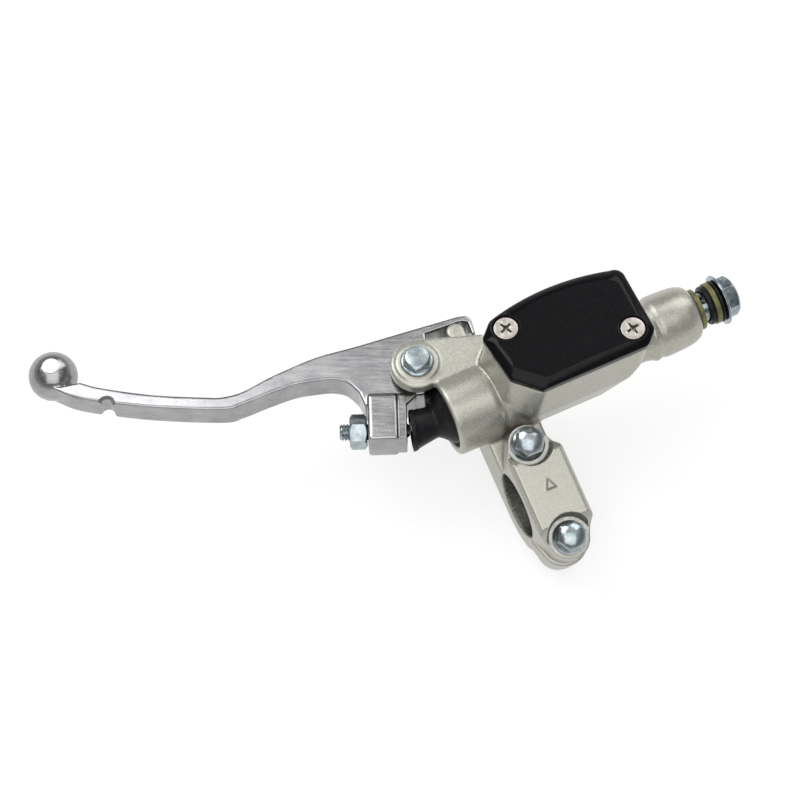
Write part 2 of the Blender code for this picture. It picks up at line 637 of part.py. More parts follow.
def main():
    clear_scene()
    cast = finish_of("cast_aluminium", (0.60, 0.60, 0.53), 0.42, 0.75)
    polished = finish_of("polished_aluminium", (0.80, 0.80, 0.82), 0.2, 1.0)
    zinc = finish_of("zinc_steel", (0.68, 0.74, 0.78), 0.28, 1.0)
    nickel = finish_of("nickel_steel", (0.72, 0.68, 0.62), 0.3, 1.0)
    steel = finish_of("spring_steel", (0.45, 0.45, 0.46), 0.35, 1.0)
    brass = finish_of("bronze", (0.62, 0.45, 0.22), 0.35, 1.0)
    anodised = finish_of("anodised_aluminium", (0.55, 0.50, 0.38), 0.4, 0.9)
    olive = finish_of("sealing_washer", (0.16, 0.16, 0.07), 0.4, 0.6)
    gloss_black = finish_of("gloss_black", (0.012, 0.012, 0.013), 0.18, 0.0)
    rubber = finish_of("black_rubber", (0.018, 0.018, 0.02), 0.5, 0.0)

    casting = datum("casting_datum", PIVOT)
    bore = datum("bore_axis", (0, BORE_OFFSET, 0), ALONG_X, casting)
    lever = datum("lever_datum", rotation=(0, 0, math.radians(LEVER_TURN)), parent=casting)
    clamp = datum("clamp_datum", rotation=(math.radians(CLAMP_TILT), 0, 0))
    make_casting(casting, bore, clamp, cast)
    make_clamp(bore, clamp, cast, zinc)
    make_reservoir_top(casting, gloss_black, rubber, nickel)
    make_lever(casting, lever, polished, zinc, brass)
    make_hydraulics(bore, zinc, rubber, anodised, steel)
    make_hose_end(bore, zinc, olive, rubber)


main()
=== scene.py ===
"""The brake master cylinder's looks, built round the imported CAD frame.

Each visible CAD node, and the return spring, is replaced by a finer piece in the same place.
The other inner nodes are carried over with a finish. Shapes are drawn in millimetres in one of
four frames (casting, bore, lever, clamp), which are placed by the CAD nodes, and are turned
into metres in the row frame as each mesh is made.
"""

import math

import bmesh
import bpy
from mathutils import Matrix, Vector


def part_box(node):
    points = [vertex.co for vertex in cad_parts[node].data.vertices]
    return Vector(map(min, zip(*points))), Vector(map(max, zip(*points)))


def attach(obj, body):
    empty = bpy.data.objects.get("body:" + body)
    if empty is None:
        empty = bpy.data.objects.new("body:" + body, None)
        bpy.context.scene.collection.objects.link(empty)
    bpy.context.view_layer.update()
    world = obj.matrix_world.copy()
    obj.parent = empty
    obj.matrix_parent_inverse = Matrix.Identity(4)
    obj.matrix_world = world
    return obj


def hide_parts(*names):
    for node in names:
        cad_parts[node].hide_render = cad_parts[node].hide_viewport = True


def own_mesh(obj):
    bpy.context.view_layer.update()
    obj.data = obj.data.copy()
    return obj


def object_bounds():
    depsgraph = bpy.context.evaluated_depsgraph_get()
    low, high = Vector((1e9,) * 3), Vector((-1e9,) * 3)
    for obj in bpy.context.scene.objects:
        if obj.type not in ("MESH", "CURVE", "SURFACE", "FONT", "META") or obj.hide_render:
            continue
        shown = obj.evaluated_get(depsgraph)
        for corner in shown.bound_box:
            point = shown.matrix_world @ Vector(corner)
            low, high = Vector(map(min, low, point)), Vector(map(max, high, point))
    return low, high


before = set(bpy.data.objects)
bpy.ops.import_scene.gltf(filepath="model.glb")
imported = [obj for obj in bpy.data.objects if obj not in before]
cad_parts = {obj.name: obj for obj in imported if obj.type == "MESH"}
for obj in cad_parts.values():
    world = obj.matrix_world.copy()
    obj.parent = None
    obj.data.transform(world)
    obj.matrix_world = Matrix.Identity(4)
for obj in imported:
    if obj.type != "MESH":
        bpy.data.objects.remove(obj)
cad_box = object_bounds()

MM = 0.001
CLAMP_TILT = 19.0
LEVER_TURN = -23.5
CAST_VOXEL = 0.36
FINE_VOXEL = 0.26

BARREL_RADIUS = 13.5
EAR_INNER_Z = 7.4
EAR_OUTER_Z = 11.4
BOSS_Z = 12.2
BAR_RADIUS = 11.1
BOLT_REACH = 16.5
CAP_HALF_WIDTH = 9.5
CAP_SEAT = 10.3
LID_SLANT = 1.8
HUB_RADIUS = 6.9
ADJUSTER_OFFSET = -18.6
LEVER_GRAIN = 154.0
LEVER_TAPER = 0.08
BALL_CENTRE = (-106.9, 51.7, 0.0)
BALL_RADIUS = 8.1
BORE_RADIUS = 6.35
TUB_WALL_INSET = 0.6
SCREW_TURNS = (24, 12)
THREAD_PITCH = 1.0
HOSE_END_STACK = 9.0
SEAT_GAP = 0.3


# ---------------------------------------------------------------- frames

def low_mm(node):
    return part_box(node)[0] / MM


def high_mm(node):
    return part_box(node)[1] / MM


def middle_mm(node):
    return (low_mm(node) + high_mm(node)) / 2


PIVOT = middle_mm("pivot_bush")
BORE = middle_mm("piston")
CASTING = Matrix.Translation(PIVOT)
BORE_OFFSET = BORE.y - PIVOT.y
ALONG_BORE = CASTING @ Matrix.Translation((0, BORE_OFFSET, 0)) @ Matrix.Rotation(
    math.radians(90), 4, "Y")
LEVER = CASTING @ Matrix.Rotation(math.radians(LEVER_TURN), 4, "Z")
ALONG_ADJUSTER = LEVER @ Matrix.Translation((0, ADJUSTER_OFFSET, 0)) @ Matrix.Rotation(
    math.radians(90), 4, "Y")
CLAMP = Matrix.Rotation(math.radians(CLAMP_TILT), 4, "X")
ACROSS_CLAMP = CLAMP @ Matrix.Rotation(math.radians(90), 4, "Z") @ Matrix.Rotation(
    math.radians(90), 4, "X")

COVER_LOW = low_mm("reservoir_cover") - PIVOT
COVER_HIGH = high_mm("reservoir_cover") - PIVOT
MOUTH_X = 2.2
OUTLET_X = low_mm("banjo_washer_inner").x - PIVOT.x - SEAT_GAP
RIM_Z = COVER_LOW.z - 1.4
SCREWS = {name: middle_mm(name) - PIVOT for name in ("cover_screw_inner", "cover_screw_outer")}


# ---------------------------------------------------------------- outlines

def arc(centre, radius, start, end, steps):
    """Points on an arc, with its angles in degrees."""
    angles = [math.radians(start + (end - start) * i / steps) for i in range(steps + 1)]
    return [(centre[0] + radius * math.cos(a), centre[1] + radius * math.sin(a)) for a in angles]


def rounded(points, radius, closed=True):
    """An outline with each corner rounded off. radius is one number, or one for each point."""
    radii = radius if isinstance(radius, (list, tuple)) else [radius] * len(points)
    steps = 4
    line = []
    for i, (point, size) in enumerate(zip(points, radii)):
        end = i in (0, len(points) - 1)
        if size == 0 or (end and not closed):
            line.append(tuple(point))
            continue
        here = Vector(point)
        before = Vector(points[i - 1]) - here
        after = Vector(points[(i + 1) % len(points)]) - here
        reach = min(size, before.length * 0.45, after.length * 0.45)
        start = here + before.normalized() * reach
        finish = here + after.normalized() * reach
        for k in range(steps + 1):
            t = k / steps
            line.append(tuple(start * (1 - t) ** 2 + here * 2 * t * (1 - t) + finish * t * t))
    return line


def through(points):
    """A smooth line through points, as a Catmull-Rom spline."""
    steps = 6
    ends = [points[0], *points, points[-1]]
    line = []
    for a, b, c, d in zip(ends, ends[1:], ends[2:], ends[3:]):
        for i in range(steps):
            t = i / steps
            weights = (-t + 2 * t * t - t ** 3, 2 - 5 * t * t + 3 * t ** 3,
                       t + 4 * t * t - 3 * t ** 3, t ** 3 - t * t)
            line.append(tuple(sum(w * p[k] for w, p in zip(weights, (a, b, c, d))) / 2
                              for k in (0, 1)))
    line.append(points[-1])
    return line


def reservoir_outline(inset=0.0, foot=0.0, outer=4.5):
    """The reservoir's outline, counter-clockwise.

    foot moves its lever side outwards, and outer is its chamfer next to the hose end."""
    near, far, round_corner, bulge, corner = 8.0, 5.0, 3.5, 3.0, 1.2
    x_low = COVER_LOW.x + LID_SLANT + inset - foot
    x_high = COVER_HIGH.x - inset
    y_low = COVER_LOW.y + inset
    y_high = COVER_HIGH.y - bulge - inset
    left, right = x_low + far - LID_SLANT, x_high - round_corner
    front = []
    for i in range(1, 16):
        t = i / 16
        front.append((right + (left - right) * t, y_high + bulge * 4 * t * (1 - t)))
    turn = arc((right, y_high - round_corner), round_corner, 0, 90, 8)
    points = [(x_low + near, y_low), (x_high - outer, y_low), (x_high, y_low + outer), *turn,
              *front, (left, y_high), (x_low - LID_SLANT, y_high - far), (x_low, y_low + near)]
    radii = [corner] * 3 + [0] * (len(turn) + len(front)) + [corner] * 3
    return rounded(points, radii)


# ---------------------------------------------------------------- solids

def solid(name, vertices, faces, place):
    """A closed mesh object from millimetre points in a frame."""
    mesh = bpy.data.meshes.new(name)
    mesh.from_pydata([(place @ Vector(v)) * MM for v in vertices], [], faces)
    bm = bmesh.new()
    bm.from_mesh(mesh)
    bmesh.ops.recalc_face_normals(bm, faces=bm.faces)
    bm.to_mesh(mesh)
    bm.free()
    obj = bpy.data.objects.new(name, mesh)
    bpy.context.scene.collection.objects.link(obj)
    return obj


def turned(name, profile, place, sides=96, ring=False):
    """A profile of (radius, height) turned about the frame's Z."""
    vertices, rows = [], []
    for radius, height in profile:
        count = sides if radius > 0 else 1
        rows.append([len(vertices) + i for i in range(count)])
        for i in range(count):
            angle = 2 * math.pi * i / sides
            vertices.append((radius * math.cos(angle), radius * math.sin(angle), height))
    pairs = list(zip(rows, rows[1:]))
    if ring:
        pairs.append((rows[-1], rows[0]))
    faces = []
    for upper, lower in pairs:
        for i in range(sides):
            k = (i + 1) % sides
            if len(upper) == 1:
                faces.append((upper[0], lower[i], lower[k]))
            elif len(lower) == 1:
                faces.append((upper[i], lower[0], upper[k]))
            else:
                faces.append((upper[i], lower[i], lower[k], upper[k]))
    return solid(name, vertices, faces, place)


def loft(name, sections, place):
    """A closed solid through sections of (outline, height) with equal point counts."""
    vertices, faces = [], []
    count = len(sections[0][0])
    for outline, height in sections:
        vertices += [(x, y, height) for x, y in outline]
    for s in range(len(sections) - 1):
        for i in range(count):
            a, b = s * count + i, s * count + (i + 1) % count
            faces.append((a, b, b + count, a + count))
    faces.append(tuple(reversed(range(count))))
    faces.append(tuple(range((len(sections) - 1) * count, len(sections) * count)))
    return solid(name, vertices, faces, place)


def plate(name, outline, low, high, place, rim=0.0):
    """A flat outline extruded from low to high, with rounded rims."""
    curve = bpy.data.curves.new(name + "_outline", "CURVE")
    curve.dimensions = "2D"
    curve.fill_mode = "BOTH"
    curve.extrude = (high - low) / 2 - rim
    curve.bevel_depth = rim
    curve.bevel_resolution = 3
    curve.offset = -rim
    spline = curve.splines.new("POLY")
    spline.points.add(len(outline) - 1)
    for point, (x, y) in zip(spline.points, outline):
        point.co = (x, y, 0.0, 1.0)
    spline.use_cyclic_u = True
    guide = bpy.data.objects.new(name + "_guide", curve)
    bpy.context.scene.collection.objects.link(guide)
    bpy.context.view_layer.update()
    mesh = bpy.data.meshes.new_from_object(guide.evaluated_get(
        bpy.context.evaluated_depsgraph_get()))
    bpy.data.objects.remove(guide)
    bm = bmesh.new()
    bm.from_mesh(mesh)
    bmesh.ops.remove_doubles(bm, verts=bm.verts, dist=0.002)
    bmesh.ops.transform(bm, matrix=Matrix.Scale(MM, 4) @ place @ Matrix.Translation(
        (0, 0, (low + high) / 2)), verts=bm.verts)
    bmesh.ops.recalc_face_normals(bm, faces=bm.faces)
    bm.to_mesh(mesh)
    bm.free()
    obj = bpy.data.objects.new(name, mesh)
    bpy.context.scene.collection.objects.link(obj)
    return obj


def box(name, low, high, place, edge=0.0):
    """A box between two corners, with rounded edges."""
    outline = [(low[0], low[1]), (high[0], low[1]), (high[0], high[1]), (low[0], high[1])]
    return plate(name, rounded(outline, edge) if edge else outline, low[2], high[2], place, edge)


def cylinder(name, radius, low, high, place, centre=(0, 0)):
    """A plain cylinder along the frame's Z."""
    shifted = place @ Matrix.Translation((*centre, 0))
    return turned(name, [(0, high), (radius, high), (radius, low), (0, low)], shifted)


def ball(name, radius, place, centre):
    """A sphere."""
    rows = 48
    profile = [(radius * math.sin(math.pi * i / rows), radius * math.cos(math.pi * i / rows))
               for i in range(1, rows)]
    profile = [(0, radius), *profile, (0, -radius)]
    return turned(name, profile, place @ Matrix.Translation(centre))


# ---------------------------------------------------------------- mesh work

def settle(obj):
    """Turns an object's modifiers into its mesh."""
    bpy.context.view_layer.update()
    mesh = bpy.data.meshes.new_from_object(obj.evaluated_get(
        bpy.context.evaluated_depsgraph_get()))
    obj.modifiers.clear()
    obj.data = mesh
    return obj


def combine(target, tools, operation):
    """Joins, cuts or intersects with each tool, which is used up."""
    for tool in tools:
        boolean = target.modifiers.new(tool.name, "BOOLEAN")
        boolean.operation = operation
        boolean.object = tool
        boolean.solver = "MANIFOLD"
        settle(target)
        bpy.data.objects.remove(tool)
    return target


def join(target, *tools):
    return combine(target, tools, "UNION")


def cut(target, *tools):
    return combine(target, tools, "DIFFERENCE")


def overlap(target, *tools):
    return combine(target, tools, "INTERSECT")


def gather(target, *others):
    """Puts overlapping closed solids in one mesh, for soften to make one skin of."""
    bm = bmesh.new()
    for obj in (target, *others):
        bm.from_mesh(obj.data)
    bm.to_mesh(target.data)
    bm.free()
    for obj in others:
        bpy.data.objects.remove(obj)
    return target


def soften(obj, voxel, passes):
    """Rebuilds a joined solid as one even skin, and rounds its edges and inner corners."""
    remesh = obj.modifiers.new("skin", "REMESH")
    remesh.mode = "VOXEL"
    remesh.voxel_size = voxel * MM
    smooth = obj.modifiers.new("round", "SMOOTH")
    smooth.factor = 0.5
    smooth.iterations = passes
    return settle(obj)


def bevel(obj, width, angle):
    """Rounds the edges sharper than an angle."""
    rounding = obj.modifiers.new("edges", "BEVEL")
    rounding.width = width * MM
    rounding.segments = 2
    rounding.limit_method = "ANGLE"
    rounding.angle_limit = math.radians(angle)
    rounding.use_clamp_overlap = True
    return settle(obj)


def hexagon(name, across_flats, low, high, place, crown, top_radius, both_ends=False,
            dome=0.0):
    """A hexagon whose corners are turned down from its top circle by the crown's height.

    dome is how far the top rises inside that circle."""
    corner = across_flats / math.sqrt(3)
    head = turned(name, [(0, high), (corner, high), (corner, low), (0, low)], place, 6)
    slope = [(top_radius * 0.35, high - dome * 0.1), (top_radius * 0.7, high - dome * 0.45),
             (top_radius, high - dome), (corner + 0.05, high - crown)]
    if both_ends:
        foot = [(corner + 0.05, low + crown), (top_radius, low - 0.01)]
    else:
        foot = [(corner + 0.05, low - 1)]
    limit = turned(name + "_crown", [(0, high + 0.02), *slope, *foot, (0, foot[-1][1])], place)
    return bevel(overlap(head, limit), 0.12, 20)


def thread(name, radius, low, high, place, depth=0.55, sides=48):
    """A threaded rod: a cylinder whose skin follows a helical groove, tapered at both ends."""
    run_out = 0.9
    rows = int((high - low) / (THREAD_PITCH / 8))
    vertices, faces = [], []
    for row in range(rows + 1):
        height = low + (high - low) * row / rows
        taper = min(1.0, (height - low) / run_out, (high - height) / run_out)
        for i in range(sides):
            turn = i / sides
            phase = (height / THREAD_PITCH - turn) % 1.0
            groove = depth * abs(2 * phase - 1)
            reach = radius - max(groove, depth * (1 - taper))
            angle = 2 * math.pi * turn
            vertices.append((reach * math.cos(angle), reach * math.sin(angle), height))
    for row in range(rows):
        for i in range(sides):
            a, b = row * sides + i, row * sides + (i + 1) % sides
            faces.append((a, b, b + sides, a + sides))
    faces.append(tuple(reversed(range(sides))))
    faces.append(tuple(range(rows * sides, (rows + 1) * sides)))
    return solid(name, vertices, faces, place)


def recolour_faces(obj, material, chosen):
    """Gives a second material to the faces whose middle, in millimetres, is chosen: a real finish,
    such as the machined seat, or painted shade, such as in the handlebar bore and screw recesses.
    """
    obj.data.materials.append(material)
    index = len(obj.data.materials) - 1
    for face in obj.data.polygons:
        if chosen(face.center / MM):
            face.material_index = index


def shade_bolt_flats(obj, place):
    """Paints a bolt head's flats, and what slopes steeply below them, darker: painted shade and
    painted dark reflections on the zinc.
    """
    steep = 0.55
    obj.data.materials.append(ZINC_PAINTED_SHADE)
    axis = place.to_3x3() @ Vector((0, 0, 1))
    for face in obj.data.polygons:
        if abs(face.normal.dot(axis)) < steep:
            face.material_index = 1


def in_bar_bore(spot):
    """Whether a place is on the handlebar bore's wall."""
    margin = 0.25
    return abs(spot.x) < CAP_HALF_WIDTH and math.hypot(spot.y, spot.z) < BAR_RADIUS + margin


def on_bolt_seat(spot):
    """Whether a place is on a clamp bolt's seat."""
    ring_radius, margin = 6.7, 0.2
    local = CLAMP.inverted() @ spot
    off_axis = math.hypot(local.x, abs(local.y) - BOLT_REACH)
    return off_axis < ring_radius and abs(local.z - CAP_SEAT) < margin


def in_screw_recess(offset, top):
    """Whether a place, measured from its screw's axis, is in the cross recess."""
    reach, depth, lip = 2.6, 2.4, 0.12
    return offset.xy.length < reach and top - depth < offset.z < top - lip


def stand_for(obj, node, body, material, angle=32):
    """Gives a piece its finish, and puts it in its CAD node's place."""
    obj.name = node + "_fine"
    obj.data.materials.clear()
    obj.data.materials.append(material)
    obj.data.shade_smooth()
    obj.data.set_sharp_from_angle(angle=math.radians(angle))
    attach(obj, body)
    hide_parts(node)


# ---------------------------------------------------------------- materials

def surface(name, roughness, metallic):
    """A Principled material, its node tree and its shader."""
    material = bpy.data.materials.new(name)
    material.use_nodes = True
    shader = material.node_tree.nodes["Principled BSDF"]
    shader.inputs["Roughness"].default_value = roughness
    shader.inputs["Metallic"].default_value = metallic
    return material, material.node_tree, shader


def noise(tree, size, detail=3.0, stretch=(1, 1, 1), turn=0.0):
    """Noise with grains of a size in millimetres, on the object's own coordinates.

    The grains are stretched along axes that are first turned about Z, in degrees."""
    coordinates = tree.nodes.new("ShaderNodeTexCoord")
    mapping = tree.nodes.new("ShaderNodeMapping")
    mapping.vector_type = "TEXTURE"
    mapping.inputs["Scale"].default_value = stretch
    mapping.inputs["Rotation"].default_value = (0, 0, math.radians(turn))
    texture = tree.nodes.new("ShaderNodeTexNoise")
    texture.inputs["Scale"].default_value = 1 / (size * MM)
    texture.inputs["Detail"].default_value = detail
    tree.links.new(coordinates.outputs["Object"], mapping.inputs["Vector"])
    tree.links.new(mapping.outputs["Vector"], texture.inputs["Vector"])
    return texture.outputs["Fac"]


def spread(tree, value, low, high, start=0.3, end=0.7):
    """Maps a value from start..end to low..high."""
    node = tree.nodes.new("ShaderNodeMapRange")
    node.inputs["From Min"].default_value = start
    node.inputs["From Max"].default_value = end
    node.inputs["To Min"].default_value = low
    node.inputs["To Max"].default_value = high
    tree.links.new(value, node.inputs["Value"])
    return node.outputs["Result"]


def mix(tree, factor, first, second):
    """Mixes two colours, each a colour or another node's output."""
    node = tree.nodes.new("ShaderNodeMix")
    node.data_type = "RGBA"
    tree.links.new(factor, node.inputs["Factor"])
    for socket, colour in ((node.inputs[6], first), (node.inputs[7], second)):
        if isinstance(colour, tuple):
            socket.default_value = (*colour, 1.0)
        else:
            tree.links.new(colour, socket)
    return node.outputs[2]


def bumps(tree, shader, *layers):
    """Stacks bump layers of (height, strength, depth in millimetres) on a shader."""
    below = None
    for height, strength, depth in layers:
        node = tree.nodes.new("ShaderNodeBump")
        node.inputs["Strength"].default_value = strength
        node.inputs["Distance"].default_value = depth * MM
        tree.links.new(height, node.inputs["Height"])
        if below is not None:
            tree.links.new(below, node.inputs["Normal"])
        below = node.outputs["Normal"]
    tree.links.new(below, shader.inputs["Normal"])


def metal(name, dark, light, roughness, patch, grain, metallic=1.0):
    """Bare or plated metal with blotches and grain, sized in millimetres, and a roughness range."""
    material, tree, shader = surface(name, roughness[0], metallic)
    blotches = spread(tree, noise(tree, patch, 4.0), 0.0, 1.0)
    tree.links.new(mix(tree, blotches, dark, light), shader.inputs["Base Color"])
    fine = noise(tree, grain, 5.0)
    tree.links.new(spread(tree, fine, *roughness), shader.inputs["Roughness"])
    bumps(tree, shader, (fine, 0.25, 0.02), (noise(tree, patch, 1.0), 0.2, 0.08))
    return material


def cast_paint():
    """Pale warm silver paint with a fine sparkle, on a blasted casting."""
    material, tree, shader = surface("silver_cast", 0.4, 0.7)
    patches = spread(tree, noise(tree, 9.0, 4.0), 0.0, 1.0)
    base = mix(tree, patches, (0.34, 0.335, 0.285), (0.37, 0.365, 0.315))
    grain = spread(tree, noise(tree, 0.55, 2.0), 0.0, 1.0, 0.35, 0.65)
    grained = mix(tree, spread(tree, grain, 0.0, 0.7, 0.0, 1.0), base, (0.50, 0.495, 0.45))
    tree.links.new(grained, shader.inputs["Base Color"])
    tree.links.new(spread(tree, grain, 0.29, 0.40, 0.0, 1.0), shader.inputs["Roughness"])
    bumps(tree, shader, (noise(tree, 0.5, 2.0), 0.5, 0.07), (noise(tree, 2.2, 2.0), 0.15, 0.08),
          (noise(tree, 14.0, 1.0), 0.15, 0.3))
    return material


def polished_aluminium():
    """Tumbled and polished aluminium: bright, with soft waves and fine lengthwise streaks."""
    material, tree, shader = surface("polished_aluminium", 0.2, 1.0)
    clouds = spread(tree, noise(tree, 7.0, 4.0), 0.0, 1.0)
    tone = mix(tree, clouds, (0.25, 0.25, 0.26), (0.35, 0.35, 0.355))
    streaks = noise(tree, 0.7, 4.0, (14, 1, 2), LEVER_GRAIN)
    lines = spread(tree, streaks, 0.0, 0.3, 0.42, 0.68)
    tree.links.new(mix(tree, lines, tone, (0.46, 0.46, 0.465)), shader.inputs["Base Color"])
    tree.links.new(spread(tree, streaks, 0.16, 0.28), shader.inputs["Roughness"])
    pits = spread(tree, noise(tree, 0.7, 1.0), 0.0, 1.0, 0.22, 0.3)
    bumps(tree, shader, (streaks, 0.12, 0.02), (pits, 0.3, 0.06),
          (noise(tree, 5.0, 1.0, (4, 1, 1), LEVER_GRAIN), 0.2, 0.08))
    return material


def black_paint():
    """Gloss black, with dust and faint orange peel."""
    material, tree, shader = surface("gloss_black", 0.12, 0.0)
    shader.inputs["Specular IOR Level"].default_value = 0.14
    dust = spread(tree, noise(tree, 0.35, 3.0), 0.0, 1.0, 0.66, 0.8)
    tree.links.new(mix(tree, dust, (0.003, 0.003, 0.004), (0.05, 0.05, 0.054)),
                   shader.inputs["Base Color"])
    tree.links.new(spread(tree, noise(tree, 3.0, 5.0), 0.09, 0.17), shader.inputs["Roughness"])
    bumps(tree, shader, (noise(tree, 1.2, 2.0), 0.12, 0.03), (noise(tree, 9.0, 1.0), 0.05, 0.1))
    return material


def rubber(name, colour, roughness):
    """Moulded rubber."""
    material, tree, shader = surface(name, roughness, 0.0)
    shader.inputs["Specular IOR Level"].default_value = 0.16
    light = tuple(c * 1.8 + 0.002 for c in colour)
    tree.links.new(mix(tree, spread(tree, noise(tree, 1.5, 5.0), 0.0, 1.0), colour, light),
                   shader.inputs["Base Color"])
    tree.links.new(spread(tree, noise(tree, 2.0, 4.0), roughness - 0.1, roughness + 0.12),
                   shader.inputs["Roughness"])
    bumps(tree, shader, (noise(tree, 0.3, 3.0), 0.2, 0.03), (noise(tree, 3.0, 2.0), 0.2, 0.08))
    return material


CAST = cast_paint()
POLISHED = polished_aluminium()
ZINC = metal("bright_zinc", (0.27, 0.315, 0.335), (0.44, 0.49, 0.51), (0.16, 0.28), 1.8, 0.25)
# painted shade: a darker zinc colour for bolt flats, standing for dark reflections and shade on
# them
ZINC_PAINTED_SHADE = metal("zinc_painted_shade", (0.13, 0.16, 0.18), (0.34, 0.40, 0.43), (0.12, 0.24), 1.6, 0.25)
NICKEL = metal("nickel_screw", (0.38, 0.35, 0.32), (0.52, 0.485, 0.45), (0.24, 0.4), 2.0, 0.2)
# painted shade: the cross recesses are coloured darker than the nickel head, for the shade inside
# them
RECESS_SHADE = metal("screw_recess", (0.18, 0.17, 0.16), (0.36, 0.34, 0.32), (0.3, 0.5), 1.0, 0.2)
# painted shade: the machined handlebar bore is coloured darker to stand for the shade inside it
BORED_SHADED = metal("bored_cast_painted_shade", (0.11, 0.11, 0.09), (0.26, 0.26, 0.225), (0.4, 0.55), 0.9, 0.3)
SEAT = metal("machined_seat", (0.33, 0.33, 0.31), (0.45, 0.45, 0.43), (0.3, 0.42), 2.0, 0.3)
STEEL = metal("spring_steel", (0.30, 0.30, 0.31), (0.48, 0.48, 0.49), (0.25, 0.42), 2.0, 0.2)
BRONZE = metal("sintered_bronze", (0.50, 0.34, 0.15), (0.66, 0.48, 0.24), (0.3, 0.5), 2.0, 0.3)
ANODISED = metal("hard_anodised", (0.42, 0.38, 0.28), (0.52, 0.47, 0.36), (0.3, 0.42), 3.0, 0.2)
OLIVE = metal("olive_washer", (0.10, 0.10, 0.035), (0.20, 0.19, 0.09), (0.3, 0.5), 1.5, 0.3, 0.6)
BLACK = black_paint()
RUBBER = rubber("black_rubber", (0.005, 0.005, 0.006), 0.34)


# ---------------------------------------------------------------- the casting

def arm_and_clamp():
    """The arm from the barrel to the fixed half of the handlebar clamp."""
    half = CAP_HALF_WIDTH
    tip = arc((0, -BOLT_REACH), 8.2, -172, -8, 24)
    plan = [(-half, -13.5), *tip, (half, -13.5), (half, 37.0), (-half, 37.0)]
    arm = plate("arm", plan, -24.0, -0.4, CLAMP)
    ring = arc((0, 0), 17.2, 208, 275, 20)
    side = [(-26.5, 1.0), (-26.5, -10.5), (-24.0, -12.5), *ring, (26.0, -17.2), (38.0, -12.5),
            (38.0, 1.0)]
    overlap(arm, plate("arm_form", side, -half - 1, half + 1, ACROSS_CLAMP))
    root = [(-half + 0.5, 21.0), (half - 0.5, 21.0), (half + 6.0, 31.0), (half + 6.0, 38.0),
            (-half - 7.0, 38.0), (-half - 7.0, 31.0)]
    gusset = loft("gusset", [([(x * 0.75, y - 0.5) for x, y in root], -16.8), (root, -10.5),
                             (root, -4.0)], CLAMP)
    return gather(arm, gusset)


def cast_body():
    """The one-piece casting, softened like a casting and then machined."""
    neck = BARREL_RADIUS - 0.9
    barrel = [
        (0, OUTLET_X), (7.6, OUTLET_X), (9.1, OUTLET_X - 1.2), (10.1, OUTLET_X - 4),
        (10.5, OUTLET_X - 8), (10.6, 78.4), (10.0, 77.6), (10.0, 76.8), (10.6, 76.0),
        (10.6, 75.0), (9.8, 74.0), (9.2, 71.5), (9.2, 67.5), (11.0, 64.5), (12.0, 61.0),
        (12.0, 33.0), (BARREL_RADIUS - 0.1, 20.6), (neck, 19.4), (neck, 18.4),
        (BARREL_RADIUS, 17.4), (BARREL_RADIUS, MOUTH_X + 0.4), (BARREL_RADIUS - 0.4, MOUTH_X),
        (0, MOUTH_X)]
    lever_side = COVER_LOW.x + LID_SLANT - 18.9
    wall = TUB_WALL_INSET
    tub = loft("tub", [
        (reservoir_outline(wall + 4.5, lever_side + 4.5, 11.0), -8.0),
        (reservoir_outline(wall, lever_side + 0.9, 8.5), 6.8),
        (reservoir_outline(wall, lever_side, 5.5), 12.0),
        (reservoir_outline(wall), RIM_Z)], CASTING)
    ear = [*arc((0, 0), 8.8, 68, 285, 36), (4.0, -9.5), (4.0, BORE_OFFSET),
           (23.0, BORE_OFFSET), (24.0, 0.6)]
    web = [(12.5, BORE_OFFSET), (23.0, BORE_OFFSET), (23.0, 0.3), (19.0, 1.8), (14.0, -4.0)]
    boss = [(0, BOSS_Z + 0.1), (6.8, BOSS_Z + 0.1), (7.2, BOSS_Z - 0.3), (7.4, EAR_OUTER_Z - 1),
            (7.4, -EAR_OUTER_Z + 1), (7.2, -BOSS_Z + 0.3), (6.8, -BOSS_Z - 0.1),
            (0, -BOSS_Z - 0.1)]
    body = gather(
        turned("casting", barrel, ALONG_BORE), tub,
        plate("ear_upper", ear, EAR_INNER_Z - 1, EAR_OUTER_Z, CASTING),
        plate("ear_lower", ear, -EAR_OUTER_Z, -EAR_INNER_Z + 1, CASTING),
        plate("ear_web", web, -EAR_OUTER_Z + 0.9, EAR_OUTER_Z - 0.9, CASTING),
        cylinder("stop_lug", 3.1, -EAR_OUTER_Z + 0.5, 7.0, CASTING, (17.3, 7.3)),
        box("stop_neck", (15.2, 0.0, -EAR_OUTER_Z + 0.5), (20.2, 6.9, 6.9), CASTING),
        arm_and_clamp(), turned("boss", boss, CASTING))
    soften(body, CAST_VOXEL, 12)

    room = [(-12.0, 12.0), (-12.0, -9.5), (2.0, -9.5),
            *arc((0, 0), HUB_RADIUS + 0.7, -72, 20, 24), (12.0, 3.0), (13.5, 5.0),
            (13.5, 12.0)]
    cut(body, plate("lever_room", room, -EAR_INNER_Z, EAR_INNER_Z, CASTING))
    machine(body)
    soften(body, CAST_VOXEL, 7)
    stand_for(body, "master_cylinder_body", "cylinder", CAST)
    # the handlebar bore's wall gets painted shade
    recolour_faces(body, BORED_SHADED, in_bar_bore)


def bar_bore():
    """The tool for the handlebar's bore, with a chamfer at both ends."""
    half = CAP_HALF_WIDTH
    profile = [(0, 30), (BAR_RADIUS + 1, 30), (BAR_RADIUS + 1, half + 0.4),
               (BAR_RADIUS, half - 0.5), (BAR_RADIUS, -half + 0.5),
               (BAR_RADIUS + 1, -half - 0.4), (BAR_RADIUS + 1, -30), (0, -30)]
    return turned("bar_bore", profile, Matrix.Rotation(math.radians(90), 4, "Y"), 144)


